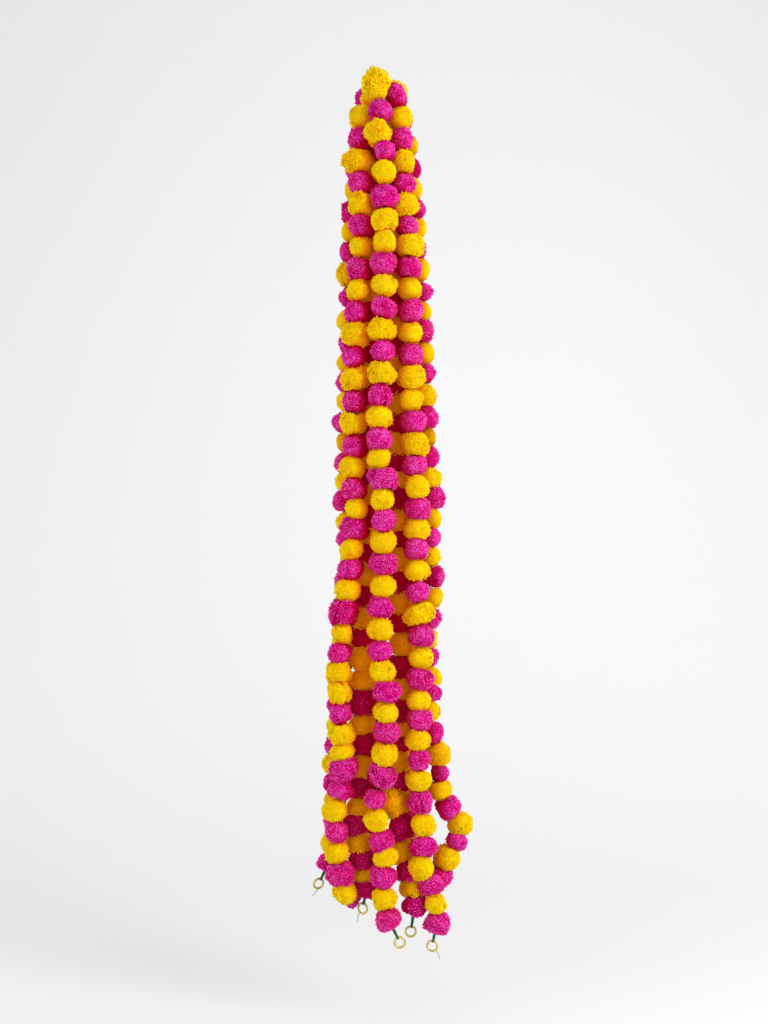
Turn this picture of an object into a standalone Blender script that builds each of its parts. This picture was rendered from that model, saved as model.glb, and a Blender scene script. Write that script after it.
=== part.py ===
"""Marigold garland: nine strings of pompom marigolds, tied together at the top to a hanging ring.

Units are metres and +Z is up. The origin is the centre of the hanging ring, and the front is -Y.
"""

import math

import bmesh
import bpy
import numpy as np
from mathutils import Matrix, Vector

MM = 0.001
GAP = 0.3 * MM  # left between pieces that touch

# A marigold: two rings of petal tips round a body that narrows to the cord.
FLOWER_RADIUS = 24.5 * MM
VALLEY_SHARE = 0.8  # how far out the hollows between the petals lie
TIP_HEIGHT = 9 * MM
VALLEY_HEIGHT = 6 * MM
NECK_RADIUS = 10.5 * MM
FLOWER_HALF_HEIGHT = 17.5 * MM
PETALS_ROUND = 10
NECK_SIDES = 4
UNEVENNESS = 0.05
SMALLEST_RADIUS = 3 * MM
NEIGHBOUR_REACH = 62 * MM

CORD_RADIUS = 1.3 * MM
CORD_STEPS = 3

# The rings at the ends of the strings, and the one that the garland hangs by.
RING_RADIUS = 8.7 * MM
RING_WIRE = 1.2 * MM
RING_SEGMENTS = 10
RING_SIDES = 4
HANG_RING_RADIUS = 9.5 * MM
HANG_RING_SEGMENTS = 14
HANG_RING_SIDES = 6

# A taped cord end: a strap with an eye round the wire of its ring.
TAPE_WIDTH = 4.4 * MM
EYE_WALL = 1.2 * MM

TIE_RADIUS = 7 * MM
TIE_TOP = -13 * MM
TIE_BOTTOM = -32 * MM
TIE_SIDES = 8
EYE_IN_TIE = 2 * MM

TAIL_RADIUS = 0.5 * MM

YELLOW = ("yellow_flowers", (0.95, 0.55, 0.01), 0.85, 0.0)
PINK = ("pink_flowers", (0.75, 0.01, 0.30), 0.85, 0.0)
TAPE = ("green_tape", (0.01, 0.13, 0.05), 0.6, 0.0)
BRASS = ("brass_ring", (0.62, 0.50, 0.16), 0.3, 1.0)
THREAD = ("pale_thread", (0.45, 0.55, 0.48), 0.8, 0.0)

# Each string's route, in millimetres. The first number of a point counts flowers: the centre of
# flower 7 is where the count is 7, and the cord runs from the tie, at 0, to flower 1. "first" is the
# colour of flower 1, the colours alternate, and "repeats" lists the flowers that have the colour of the
# one above. "shapes" gives a flower its own width and depth, and "petals" is how many tips go round a
# flower, where not 10. "ring" is the centre of the end ring, and "turn" its turn about the string.
STRINGS = {
    "front": {
        "route": [
            (0, -1, -8.5, -20), (1, -7, -31, -25), (2, -5, -50, -81), (3, -5, -54, -115),
            (4, 1, -57, -143), (6, 2, -60, -222), (11, 2, -63, -407), (17, -3, -65, -626),
            (20, 0, -65, -728), (24, 2, -65, -874), (27, -3, -64, -982), (29, 6, -64, -1051),
            (31, 6, -63, -1119), (33, -3, -62, -1193), (34, -13, -61, -1231), (36, -5, -60, -1300),
            (37, 3, -59, -1329), (39, 2, -57, -1399), (40, 12, -55, -1436),
        ],
        "first": "yellow", "repeats": (8, 34), "shapes": {1: (0.98, 1.34)},
        "ring": (30, -53, -1474), "turn": 4,
    },
    "front_left": {
        "route": [
            (0, -4, -4, -33), (1, -32, -26, -79), (2, -37, -33, -117), (4, -36, -38, -195),
            (7, -35, -42, -303), (11, -43, -45, -450), (16, -47, -46, -639), (20, -46, -47, -779),
            (22, -53, -48, -847), (25, -66, -50, -955), (27, -74, -51, -1019), (30, -67, -51, -1123),
            (33, -69, -49, -1217), (34, -79, -48, -1252), (37, -71, -45, -1359), (38, -62, -40, -1393),
            (39, -56, -13, -1411),
        ],
        "first": "yellow", "repeats": (28, 31, 33),
        "ring": (-53, 23, -1418), "turn": 90,
    },
    "front_right": {
        "route": [
            (0, 4, -4, -33), (0.5, 9, -14, -56), (1, 30, -24, -81), (2, 32, -30, -119),
            (4, 39, -36, -195), (7, 44, -40, -301), (13, 50, -43, -523), (18, 57, -45, -708),
            (22, 58, -45, -848), (26, 65, -46, -995), (29, 61, -46, -1103), (32, 64, -45, -1203),
            (35, 70, -44, -1314), (36, 70, -44, -1349), (37, 83, -42, -1377), (38, 91, -40, -1412),
            (39, 93, -38, -1444),
        ],
        "first": "yellow", "repeats": (14,),
        "ring": (85, -36, -1485), "turn": -12,
    },
    "left": {
        "route": [
            (0, -5.4, 5.4, -22), (1, -19, 40, -23), (2, -32, 38, -62), (4, -42, 32, -123),
            (6, -44, 24, -194), (9, -50, 18, -301), (13, -54, 12, -458), (17, -59, 8, -596),
            (21, -60, 6, -732), (24, -58, 5, -833), (28, -66, 4, -976), (32, -78, 3, -1116),
            (36, -88, 2, -1252), (39, -92, 0, -1355),
        ],
        "first": "pink", "repeats": (),
        "ring": (-109, -4, -1388), "turn": 33,
    },
    "right": {
        "route": [
            (0, 5.4, 5.4, -22), (1, 21, 38, -22), (2, 32, 34, -71), (3, 42, 31, -114),
            (5, 49, 25, -187), (8, 57, 19, -297), (13, 69, 13, -475), (18, 77, 9, -658),
            (23, 82, 7, -827), (27, 82, 5, -969), (31, 84, 4, -1093), (33, 89, 2, -1167),
            (35, 98, 0, -1229), (36, 112, -2, -1261), (37, 132, -4, -1284), (38, 128, -6, -1313),
            (39, 112, -6, -1344), (40, 97, -2, -1376),
        ],
        "first": "yellow", "repeats": (),
        "ring": (89, 5, -1414), "turn": 8,
    },
    "inner_left": {
        "route": [
            (0, -8.2, 0.5, -27), (1, -21, 2, -41), (2, -22, 8, -73), (4, -18, 2, -134),
            (8, -17, -4, -270), (14, -18, -6, -475), (20, -21, -7, -688), (26, -31, -8, -892),
            (30, -34, -9, -1038), (34, -36, -11, -1185), (38, -36, -14, -1311), (39, -33, -15, -1340),
            (40, -29, -16, -1370), (41, -26, -16, -1392),
        ],
        "first": "yellow", "repeats": (30,), "petals": 8,
        "ring": (-33, -17, -1427), "turn": -30,
    },
    "inner_right": {
        "route": [
            (0, 7.1, -4.1, -25), (1, 24, -23, -39), (2, 20, 9, -72), (4, 19, 2, -143),
            (8, 22, -3, -285), (15, 28, -5, -536), (22, 26, -6, -761), (27, 34, -8, -938),
            (31, 35, -9, -1089), (35, 31, -11, -1209), (37, 34, -13, -1288), (39, 43, -18, -1361),
            (40, 49, -20, -1389), (41, 56, -22, -1419),
        ],
        "first": "pink", "repeats": (), "petals": 8,
        "ring": (49, -22, -1465), "turn": 6,
    },
    "back_left": {
        "route": [
            (0, -4, 4, -33), (1, -14, 58, -102), (2, -17, 57, -138), (6, -22, 52, -284),
            (12, -22, 48, -500), (20, -16, 48, -786), (28, -14, 46, -1072), (33, -17, 45, -1249),
            (36, -16, 42, -1355),
        ],
        "first": "pink", "repeats": (),
        "ring": (-19, 40, -1393), "turn": 20,
    },
    "back_right": {
        "route": [
            (0, 4, 4, -33), (1, 23, 63, -86), (2, 24, 61, -122), (6, 30, 54, -266), (12, 40, 50, -482),
            (20, 46, 49, -768), (28, 44, 48, -1054), (33, 42, 46, -1232), (36, 42, 44, -1338),
        ],
        "first": "yellow", "repeats": (),
        "ring": (43, 42, -1376), "turn": -16,
    },
}

# The loose thread ends: points of each, in millimetres from the centre of its ring.
TAILS = {
    "left": [(-1.9, -1.2, -9.8), (-5, -2, -15), (-11, -3, -21)],
    "inner_left": [(-6.3, 3.1, -8.6), (-8, 1, -14), (-9.5, -1, -23)],
    "front_right": [(7.5, -1.5, -7.5), (10.5, -1.5, -14), (13, -2, -22)],
}


def clear_scene():
    for thing in list(bpy.data.objects):
        bpy.data.objects.remove(thing)


def material(kind):
    name, colour, roughness, metallic = kind
    found = bpy.data.materials.get(name)
    if found:
        return found
    made = bpy.data.materials.new(name)
    made.use_nodes = True
    surface = made.node_tree.nodes["Principled BSDF"]
    surface.inputs["Base Color"].default_value = (*colour, 1)
    surface.inputs["Roughness"].default_value = roughness
    surface.inputs["Metallic"].default_value = metallic
    return made


def add_object(name, mesh_builder, kinds, smooth=False):
    mesh = bpy.data.meshes.new(name)
    mesh_builder.to_mesh(mesh)
    mesh_builder.free()
    for kind in kinds:
        mesh.materials.append(material(kind))
    if smooth:
        mesh.shade_smooth()
    made = bpy.data.objects.new(name, mesh)
    bpy.context.scene.collection.objects.link(made)
    return made


def route_point(route, count):
    """The place and direction of a string at a count of flowers, on a smooth curve through its points."""
    counts = route[:, 0]
    points = route[:, 1:] * MM
    steps = np.diff(points, axis=0) / np.diff(counts)[:, None]
    weights = np.diff(counts)
    slopes = np.vstack([
        steps[:1],
        (steps[:-1] * weights[1:, None] + steps[1:] * weights[:-1, None])
        / (weights[1:] + weights[:-1])[:, None],
        steps[-1:],
    ])
    k = int(np.clip(np.searchsorted(counts, count) - 1, 0, len(counts) - 2))
    span = counts[k + 1] - counts[k]
    s = (count - counts[k]) / span
    start, end = points[k], points[k + 1]
    out, into = slopes[k] * span, slopes[k + 1] * span
    place = (
        (2 * s**3 - 3 * s**2 + 1) * start + (s**3 - 2 * s**2 + s) * out
        + (3 * s**2 - 2 * s**3) * end + (s**3 - s**2) * into
    )
    along = (
        (6 * s**2 - 6 * s) * (start - end) + (3 * s**2 - 4 * s + 1) * out + (3 * s**2 - 2 * s) * into
    )
    return place, along / np.linalg.norm(along)


def frame_along(direction):
    """The directions across, through and along a string, as the rows of an array."""
    across = np.cross(direction, (0, 1, 0))
    across /= np.linalg.norm(across)
    return np.array([across, np.cross(direction, across), direction])


class GarlandString:
    """A string's flowers and cord as places, worked out before any of them is shaped."""

    def __init__(self, name, values):
        self.name = name
        self.route = np.array(values["route"], float)
        self.shapes = values.get("shapes", {})
        self.petals = values.get("petals", PETALS_ROUND)
        self.flowers = int(self.route[-1, 0])
        self.first_neck = 1 - min(0.9, FLOWER_HALF_HEIGHT / self.cord_length())
        self.centres = np.array([route_point(self.route, k)[0] for k in self.numbers()])
        self.colours = self.colour_numbers(values["first"], values["repeats"])
        self.random = np.random.default_rng(sum(map(ord, name)))
        last, direction = route_point(self.route, self.flowers)
        self.ring_centre = Vector(values["ring"]) * MM
        toward_ring = self.ring_centre - Vector(last)
        self.end_direction = toward_ring.normalized()
        self.end_neck = Vector(last) + self.end_direction * FLOWER_HALF_HEIGHT
        self.turn = math.radians(values["turn"])

    def numbers(self):
        return range(1, self.flowers + 1)

    def cord_length(self):
        places = np.array([route_point(self.route, t)[0] for t in np.linspace(0, 1, 9)])
        return np.linalg.norm(np.diff(places, axis=0), axis=1).sum()

    def colour_numbers(self, first, repeats):
        """0 for a yellow flower and 1 for a pink one, from the top down."""
        colours = [0 if first == "yellow" else 1]
        for number in range(2, self.flowers + 1):
            colours.append(colours[-1] if number in repeats else 1 - colours[-1])
        return colours

    def neck(self, number):
        """The place and frame of the narrow place below a flower."""
        if number == 0:
            place, direction = route_point(self.route, self.first_neck)
        elif number == self.flowers:
            place, direction = np.array(self.end_neck), np.array(self.end_direction)
        else:
            place, direction = route_point(self.route, number + 0.5)
        return place, frame_along(direction)

    def end_frame(self):
        """The frame of the cord's end: X along the ring's wire where the cord holds it, Z up the cord."""
        up = -self.end_direction
        side = Vector((1, 0, 0)) - up * up.x
        basis = Matrix.Identity(3)
        basis.col[0] = side.normalized()
        basis.col[2] = up
        basis.col[1] = up.cross(basis.col[0])
        return basis @ Matrix.Rotation(self.turn, 3, "Z")

    def cord_balls(self):
        """Balls that cover the bare cord and the taped end."""
        bare = np.linspace(0, self.first_neck, 9)
        balls = [(*route_point(self.route, t)[0], CORD_RADIUS * 1.5) for t in bare]
        wire_top = self.ring_centre + self.end_frame().col[2] * RING_RADIUS
        for share in np.linspace(0, 1, 5):
            balls.append((*self.end_neck.lerp(wire_top, share), TAPE_WIDTH * 0.75))
        return balls


def ring_balls(centre, basis, radius):
    """Balls, as centres and radii, that cover a ring."""
    balls = []
    for angle in even_angles(16):
        place = centre + basis @ Vector((math.cos(angle), 0, math.sin(angle))) * radius
        balls.append((*place, RING_WIRE * 1.6))
    return balls


def top_balls():
    """Balls that cover the tie and the hanging ring."""
    tie = [(0, 0, z, TIE_RADIUS * 1.08) for z in np.linspace(TIE_TOP, TIE_BOTTOM, 6)]
    return tie + ring_balls(Vector(), Matrix.Identity(3), HANG_RING_RADIUS)


def cell_walls(centre, other_centres, balls):
    """The walls that keep a flower in its own room: directions, and distances from its centre."""
    to_flowers = other_centres - centre
    far = np.linalg.norm(to_flowers, axis=1)
    near = far < NEIGHBOUR_REACH
    directions = to_flowers[near] / far[near, None]
    limits = far[near] / 2 - GAP
    to_balls = balls[:, :3] - centre
    far = np.linalg.norm(to_balls, axis=1)
    near = (far < NEIGHBOUR_REACH) & (far > 1e-9)
    directions = np.vstack([directions, to_balls[near] / far[near, None]])
    limits = np.concatenate([limits, far[near] - balls[near, 3] - GAP])
    return directions, limits


def kept_radius(start, outward, radius, centre, walls):
    """The radius, made smaller where the point at that distance from start would pass a wall."""
    directions, limits = walls
    ahead = directions @ outward
    room = limits - directions @ (start - centre)
    facing = ahead > 1e-6
    if facing.any():
        radius = min(radius, (room[facing] / ahead[facing]).min())
    return max(radius, SMALLEST_RADIUS)


def ring_of(mesh, start, frame, angles, radii, rises, kept=()):
    """A closed row of vertices round a string. Each of kept is a (centre, walls) that it stays inside."""
    row = []
    for angle, radius, rise in zip(angles, radii, rises, strict=True):
        outward = math.cos(angle) * frame[0] + math.sin(angle) * frame[1]
        base = start + rise * frame[2]
        for centre, walls in kept:
            radius = kept_radius(base, outward, radius, centre, walls)
        row.append(mesh.verts.new(base + radius * outward))
    return row


def join_rows(mesh, upper, lower, colour):
    """Triangles between two rows that may differ in number, in step round the string."""
    i = j = 0
    while i < len(upper) or j < len(lower):
        a, b = upper[i % len(upper)], lower[j % len(lower)]
        if j == len(lower) or i < len(upper) and (i + 1) / len(upper) <= (j + 1) / len(lower):
            i += 1
            face = mesh.faces.new((a, upper[i % len(upper)], b))
        else:
            j += 1
            face = mesh.faces.new((a, lower[j % len(lower)], b))
        face.material_index = colour


def even_angles(count):
    return [2 * math.pi * k / count for k in range(count)]


def flower_rows(mesh, string, number, walls):
    """A flower's two rows of petal tips and hollows, the tips of the second between those of the first."""
    centre, direction = route_point(string.route, number)
    frame = frame_along(direction)
    wide, deep = string.shapes.get(number, (1, 1))
    rows = []
    for side in (-1, 1):
        angles, radii, rises = [], [], []
        for k, angle in enumerate(even_angles(string.petals)):
            is_tip = (k + (side > 0)) % 2 == 0
            size = 1 + UNEVENNESS * string.random.uniform(-1, 1)
            reach = FLOWER_RADIUS * size * (1 if is_tip else VALLEY_SHARE)
            angles.append(angle)
            radii.append(reach * math.hypot(wide * math.cos(angle), deep * math.sin(angle)))
            rises.append(side * size * (TIP_HEIGHT if is_tip else VALLEY_HEIGHT))
        rows.append(ring_of(mesh, centre, frame, angles, radii, rises, [(centre, walls)]))
    return rows


def build_string(string, walls):
    """The cord from the tie and the flowers below it, as one closed body."""
    mesh = bmesh.new()
    cord_angles = even_angles(NECK_SIDES)
    rows = []
    for t in np.linspace(0, string.first_neck, CORD_STEPS):
        place, direction = route_point(string.route, t)
        radii = [CORD_RADIUS] * NECK_SIDES
        rows.append(ring_of(mesh, place, frame_along(direction), cord_angles, radii, [0] * NECK_SIDES))
    mesh.faces.new(rows[0][::-1]).material_index = 2
    for upper, lower in zip(rows, rows[1:]):
        join_rows(mesh, upper, lower, 2)
    upper = rows[-1]
    for number in string.numbers():
        own = (string.centres[number - 1], walls[number - 1])
        below = (string.centres[number], walls[number]) if number < string.flowers else own
        colour = string.colours[number - 1]
        first, second = flower_rows(mesh, string, number, own[1])
        place, frame = string.neck(number)
        last = number == string.flowers
        radii = [TAPE_WIDTH / 2 if last else NECK_RADIUS] * NECK_SIDES
        lower = ring_of(mesh, place, frame, cord_angles, radii, [0] * NECK_SIDES, [own, below])
        for above, under in ((upper, first), (first, second), (second, lower)):
            join_rows(mesh, above, under, colour)
        upper = lower
    mesh.faces.new(upper).material_index = colour
    return add_object(f"string_{string.name}", mesh, (YELLOW, PINK, TAPE))


def torus(radius, wire, segments, sides):
    """A ring round the Y axis. Its straight pieces touch the circle, and one lies level at the top."""
    mesh = bmesh.new()
    radius /= math.cos(math.pi / segments)
    rows = []
    for around in even_angles(segments):
        out = Vector((math.cos(around), 0, math.sin(around)))
        row = []
        for angle in even_angles(sides):
            place = out * (radius + wire * math.cos(angle)) + Vector((0, wire * math.sin(angle), 0))
            row.append(mesh.verts.new(place))
        rows.append(row)
    for k in range(segments):
        for j in range(sides):
            here, after = rows[k], rows[(k + 1) % segments]
            mesh.faces.new((here[j], here[(j + 1) % sides], after[(j + 1) % sides], after[j]))
    return mesh


def strap_with_eye(width, thickness, top, wire):
    """An upright strap, from top down to an eye round a wire along X through the origin."""
    mesh = bmesh.new()
    inner = wire + GAP
    outer = inner + EYE_WALL
    half = thickness / 2
    outline = [(-half, top), (half, top), (outer, outer), (outer, -outer), (-outer, -outer), (-outer, outer)]
    hole = [(-inner, inner), (inner, inner), (inner, -inner), (-inner, -inner)]
    sides = []
    for x in (-width / 2, width / 2):
        edge = [mesh.verts.new((x, y, z)) for y, z in outline]
        eye = [mesh.verts.new((x, y, z)) for y, z in hole]
        left_top, right_top, right, low_right, low_left, left = edge
        a, b, c, d = eye
        faces = [
            (left_top, right_top, right, b, a, left), (right, low_right, c, b),
            (low_right, low_left, d, c), (low_left, left, a, d),
        ]
        for face in faces:
            mesh.faces.new(face if x < 0 else face[::-1])
        sides.append((edge, eye))
    (edge, eye), (other_edge, other_eye) = sides
    for row, other in ((edge, other_edge), (eye[::-1], other_eye[::-1])):
        for k in range(len(row)):
            after = (k + 1) % len(row)
            mesh.faces.new((row[after], row[k], other[k], other[after]))
    bmesh.ops.recalc_face_normals(mesh, faces=mesh.faces)
    bmesh.ops.triangulate(mesh, faces=[f for f in mesh.faces if len(f.verts) > 4])
    return mesh


def build_end(string):
    """The taped end of a string's cord, and the ring that it holds."""
    basis = string.end_frame()
    length = (string.end_neck - string.ring_centre).length
    tape_mesh = strap_with_eye(TAPE_WIDTH, TAPE_WIDTH, length - RING_RADIUS - GAP, RING_WIRE)
    tape = add_object(f"taped_end_{string.name}", tape_mesh, (TAPE,))
    tape.matrix_world = Matrix.LocRotScale(
        string.ring_centre + basis.col[2] * RING_RADIUS, basis.to_quaternion(), None
    )
    ring_mesh = torus(RING_RADIUS, RING_WIRE, RING_SEGMENTS, RING_SIDES)
    ring = add_object(f"end_ring_{string.name}", ring_mesh, (BRASS,), smooth=True)
    ring.matrix_world = Matrix.LocRotScale(string.ring_centre, basis.to_quaternion(), None)


def build_tail(name, points, ring_centre):
    """A loose end of thin thread."""
    mesh = bmesh.new()
    places = [ring_centre + Vector(p) * MM for p in points]
    rows = []
    for k, place in enumerate(places):
        along = places[min(k + 1, len(places) - 1)] - places[max(k - 1, 0)]
        frame = frame_along(np.array(along.normalized()))
        rows.append(ring_of(mesh, np.array(place), frame, even_angles(4), [TAIL_RADIUS] * 4, [0] * 4))
    mesh.faces.new(rows[0][::-1])
    for upper, lower in zip(rows, rows[1:]):
        join_rows(mesh, upper, lower, 0)
    mesh.faces.new(rows[-1])
    add_object(f"thread_tail_{name}", mesh, (THREAD,))


def build_top():
    """The hanging ring, and the tie that holds the cords to its lower side."""
    ring_mesh = torus(HANG_RING_RADIUS, RING_WIRE, HANG_RING_SEGMENTS, HANG_RING_SIDES)
    add_object("hang_ring", ring_mesh, (BRASS,), smooth=True)

    eye_length = -TIE_TOP - HANG_RING_RADIUS + EYE_IN_TIE
    eye = add_object("tie_eye", strap_with_eye(TAPE_WIDTH, TAPE_WIDTH, eye_length, RING_WIRE), (TAPE,))
    eye.location.z = -HANG_RING_RADIUS
    eye.rotation_euler.x = math.pi
    eye.hide_render = True
    eye.display_type = "WIRE"

    knot = bmesh.new()
    bmesh.ops.create_cone(
        knot, cap_ends=True, segments=TIE_SIDES, radius1=TIE_RADIUS, radius2=TIE_RADIUS,
        depth=TIE_TOP - TIE_BOTTOM,
    )
    tie = add_object("top_tie", knot, (TAPE,))
    tie.location.z = (TIE_TOP + TIE_BOTTOM) / 2
    union = tie.modifiers.new("eye", "BOOLEAN")
    union.operation = "UNION"
    union.object = eye


def main():
    clear_scene()
    strings = [GarlandString(name, values) for name, values in STRINGS.items()]
    rings = [ball for s in strings for ball in ring_balls(s.ring_centre, s.end_frame(), RING_RADIUS)]
    for string in strings:
        others = [other for other in strings if other is not string]
        centres = np.vstack([other.centres for other in others])
        cords = [ball for other in others for ball in other.cord_balls()]
        balls = np.array(top_balls() + rings + cords)
        build_string(string, [cell_walls(centre, centres, balls) for centre in string.centres])
        build_end(string)
    for name, points in TAILS.items():
        build_tail(name, points, Vector(STRINGS[name]["ring"]) * MM)
    build_top()


main()
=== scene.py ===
import math

import bpy
import numpy as np
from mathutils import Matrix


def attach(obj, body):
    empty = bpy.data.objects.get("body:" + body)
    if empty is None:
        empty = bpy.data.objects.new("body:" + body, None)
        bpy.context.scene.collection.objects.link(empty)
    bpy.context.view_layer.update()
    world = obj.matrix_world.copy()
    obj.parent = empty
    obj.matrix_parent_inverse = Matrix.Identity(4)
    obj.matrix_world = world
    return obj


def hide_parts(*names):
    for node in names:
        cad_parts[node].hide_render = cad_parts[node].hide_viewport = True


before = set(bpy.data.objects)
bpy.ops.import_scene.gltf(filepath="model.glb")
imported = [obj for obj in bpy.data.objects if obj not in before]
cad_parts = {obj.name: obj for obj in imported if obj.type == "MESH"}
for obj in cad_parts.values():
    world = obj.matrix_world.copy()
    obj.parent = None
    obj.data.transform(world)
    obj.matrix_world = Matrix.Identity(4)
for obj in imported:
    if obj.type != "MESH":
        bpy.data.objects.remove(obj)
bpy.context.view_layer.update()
mm = 0.001
print("packed model loaded,", len(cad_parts), "nodes")


class Link:
    # A node's output. Sums, differences and products of links and numbers add their Math nodes
    def __init__(self, finish, socket):
        self.finish, self.socket = finish, socket

    def math(self, operation, *values):
        settings = {"operation": operation}
        return self.finish.node("ShaderNodeMath", settings, dict(enumerate(values)))

    def __add__(self, other):
        return self.math("ADD", self, other)

    def __sub__(self, other):
        return self.math("SUBTRACT", self, other)

    def __rsub__(self, other):
        return self.math("SUBTRACT", other, self)

    def __mul__(self, other):
        return self.math("MULTIPLY", self, other)

    __radd__, __rmul__ = __add__, __mul__

    def between(self, low, high):
        # A soft step: 0 below low, 1 above high
        settings = {"interpolation_type": "SMOOTHSTEP"}
        sockets = {"Value": self, "From Min": low, "From Max": high}
        return self.finish.node("ShaderNodeMapRange", settings, sockets)


class Finish:
    # A material with one Principled surface
    def __init__(self, name, **fixed):
        self.material = bpy.data.materials.new(name)
        self.material.use_nodes = True
        self.tree = self.material.node_tree
        self.surface = self.tree.nodes["Principled BSDF"]
        for socket, value in fixed.items():
            self.surface.inputs[socket.replace("_", " ")].default_value = value

    def node(self, kind, settings=None, sockets=None, output=0):
        # Any node: first its settings, then the values or links of its sockets
        made = self.tree.nodes.new(kind)
        for name, value in (settings or {}).items():
            setattr(made, name, value)
        for name, value in (sockets or {}).items():
            self.put(made.inputs[name], value)
        return Link(self, made.outputs[output])

    def put(self, socket, value):
        # A link, a colour or a plain value into one socket
        if isinstance(value, Link):
            self.tree.links.new(value.socket, socket)
        elif isinstance(value, tuple) and len(value) == 3 and socket.type == "RGBA":
            socket.default_value = (*value, 1)
        else:
            socket.default_value = value

    def drive(self, **sockets):
        for name, value in sockets.items():
            self.put(self.surface.inputs[name.replace("_", " ")], value)

    def place(self):
        # Where a point is on its piece, in metres
        return self.node("ShaderNodeTexCoord", output="Object")

    def noise(self, scale, detail):
        sockets = {"Scale": scale, "Detail": detail, "Vector": self.place()}
        return self.node("ShaderNodeTexNoise", {}, sockets, "Fac")

    def mix(self, share, first, second):
        # Between two colours. A Mix node's colour sockets are numbers 6 and 7, its colour output number 2
        sockets = {0: share, 6: first, 7: second}
        return self.node("ShaderNodeMix", {"data_type": "RGBA"}, sockets, 2)

    def bump(self, height, depth, strength):
        sockets = {"Height": height, "Distance": depth, "Strength": strength}
        return self.node("ShaderNodeBump", {}, sockets, "Normal")

    def parts(self, attribute):
        # The three numbers that a piece carries on each point
        vector = self.node("ShaderNodeAttribute", {"attribute_name": attribute}, {}, "Vector")
        split = self.node("ShaderNodeSeparateXYZ", {}, {"Vector": vector}).socket.node
        return [Link(self, output) for output in split.outputs]


# hollow and sheltered are painted shade: the root and tip colours of fibres that other flowers close in.
# deep, body and tip are those of open ones. deep, at the root, is painted shade between the tufts, and
# the pale tip is a painted highlight where fibre ends catch light. Some flowers are nearer to other than
# to body. speckle is how much the pale tips show, and darkness how deep the dark patches are
fluffColours = {
    "yellow": {
        "hollow": (0.88, 0.22, 0.002), "sheltered": (1, 0.35, 0.003),
        "deep": (0.94, 0.43, 0.002), "body": (0.92, 0.53, 0.001),
        "other": (0.94, 0.735, 0.004), "tip": (0.96, 0.8, 0),
        "speckle": 0.7, "darkness": 0.12,
    },
    "pink": {
        "hollow": (0.38, 0, 0.006), "sheltered": (0.64, 0, 0.022),
        "deep": (0.52, 0, 0.11), "body": (0.82, 0, 0.24),
        "other": (0.95, 0.03, 0.58), "tip": (0.98, 0.17, 0.57),
        "speckle": 0.8, "darkness": 0.4,
    },
}

# The pairs are the edges of soft steps
fluff = {
    "patchScale": 85,
    "patchEdges": (0.38, 0.66),
    "darkScale": 58,
    "darkEdges": (0.5, 0.7),
    # rootToTip and openToHidden are steps of painted shade: at the roots, and where near flowers close in
    "rootToTip": (0.1, 0.8),
    "openToHidden": (0.15, 0.9),
    "grainScale": 700,
    "grain": 0.8,  # how much the finest grain changes the pale tips
    # painted shade in the creases between clumps of petals
    "creaseShade": 0.85,  # how much of the root's colour shows in a crease
    "tipTint": 0.35,  # how much the tufts of one flower differ
    "flowerPale": 0.5,  # how much one flower is paler than another
    # the glow is painted: emission that stands in for light coming through closed-in fluff
    "paintedGlow": 0.12,  # the light that comes through closed-in fluff
    "bumpScale": 1600,
    "bumpDepth": 0.0005,
    "bumpStrength": 0.3,
}


def fluffFinish(name, colours):
    # Fibres go from a deep colour at the root, painted shade between the tufts, through the flower's own
    # colour, to pale tips, a painted highlight where fibre ends catch light; these are commoner in some
    # patches. The fluff that other flowers close in is painted deeper, as shade, and glows a little, a
    # painted glow that stands in for light coming through it
    finish = Finish(
        name, Roughness=0.85, Specular_IOR_Level=0.03, Emission_Strength=fluff["paintedGlow"],
        Subsurface_Weight=0.4, Subsurface_Scale=0.003, Subsurface_Radius=(1.0, 0.4, 0.2),
    )
    reach, tint, shelter = finish.parts("fluff")
    hue, paleness, crease = finish.parts("flower")
    patch = finish.noise(fluff["patchScale"], 1).between(*fluff["patchEdges"])
    dark = finish.noise(fluff["darkScale"], 1).between(*fluff["darkEdges"]) * colours["darkness"]
    body = finish.mix(hue * 0.6 + patch * 0.4, colours["body"], colours["other"])
    # Painted shade: the root's deep colour, which also shows in the creases; the dark patches are random
    height = reach.between(*fluff["rootToTip"]) * (1 - crease * fluff["creaseShade"]) * (1 - dark)
    lower = finish.mix(height, colours["deep"], body)
    # Painted highlight: the pale tips
    grain = finish.noise(fluff["grainScale"], 2) * fluff["grain"] + 0.6
    pale = height * (tint * fluff["tipTint"] + 0.3) * (paleness * fluff["flowerPale"] + patch + 0.1)
    lit = finish.mix(pale * grain * colours["speckle"], lower, colours["tip"])
    # Painted shade where near flowers close in, and a painted glow of the same colour
    paintedShadeColour = finish.mix(height * (tint * 0.4 + 0.6), colours["hollow"], colours["sheltered"])
    hidden = shelter.between(*fluff["openToHidden"])
    finish.drive(
        Base_Color=finish.mix(hidden * 0.95, lit, paintedShadeColour),
        Emission_Color=finish.mix(hidden, (0, 0, 0), paintedShadeColour),
        Normal=finish.bump(finish.noise(fluff["bumpScale"], 1), fluff["bumpDepth"], fluff["bumpStrength"]),
    )
    return finish.material


materials = {name: fluffFinish(name + "Fluff", colours) for name, colours in fluffColours.items()}

brass = {"dark": (0.42, 0.37, 0.06), "light": (0.66, 0.59, 0.18), "cloudScale": 260, "scratchScale": 900}


def brassFinish():
    finish = Finish("brassWire", Metallic=0.85)
    cloud = finish.noise(brass["cloudScale"], 3)
    finish.drive(
        Base_Color=finish.mix(cloud, brass["dark"], brass["light"]),
        Roughness=finish.noise(brass["scratchScale"], 2) * 0.25 + 0.2,
    )
    return finish.material


tape = {
    "dark": (0.003, 0.05, 0.010),
    "light": (0.015, 0.15, 0.035),
    "cloudScale": 420,
    "bumpScale": 1500,
    "bumpDepth": 0.0003,
    "bumpStrength": 0.6,
}


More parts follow.
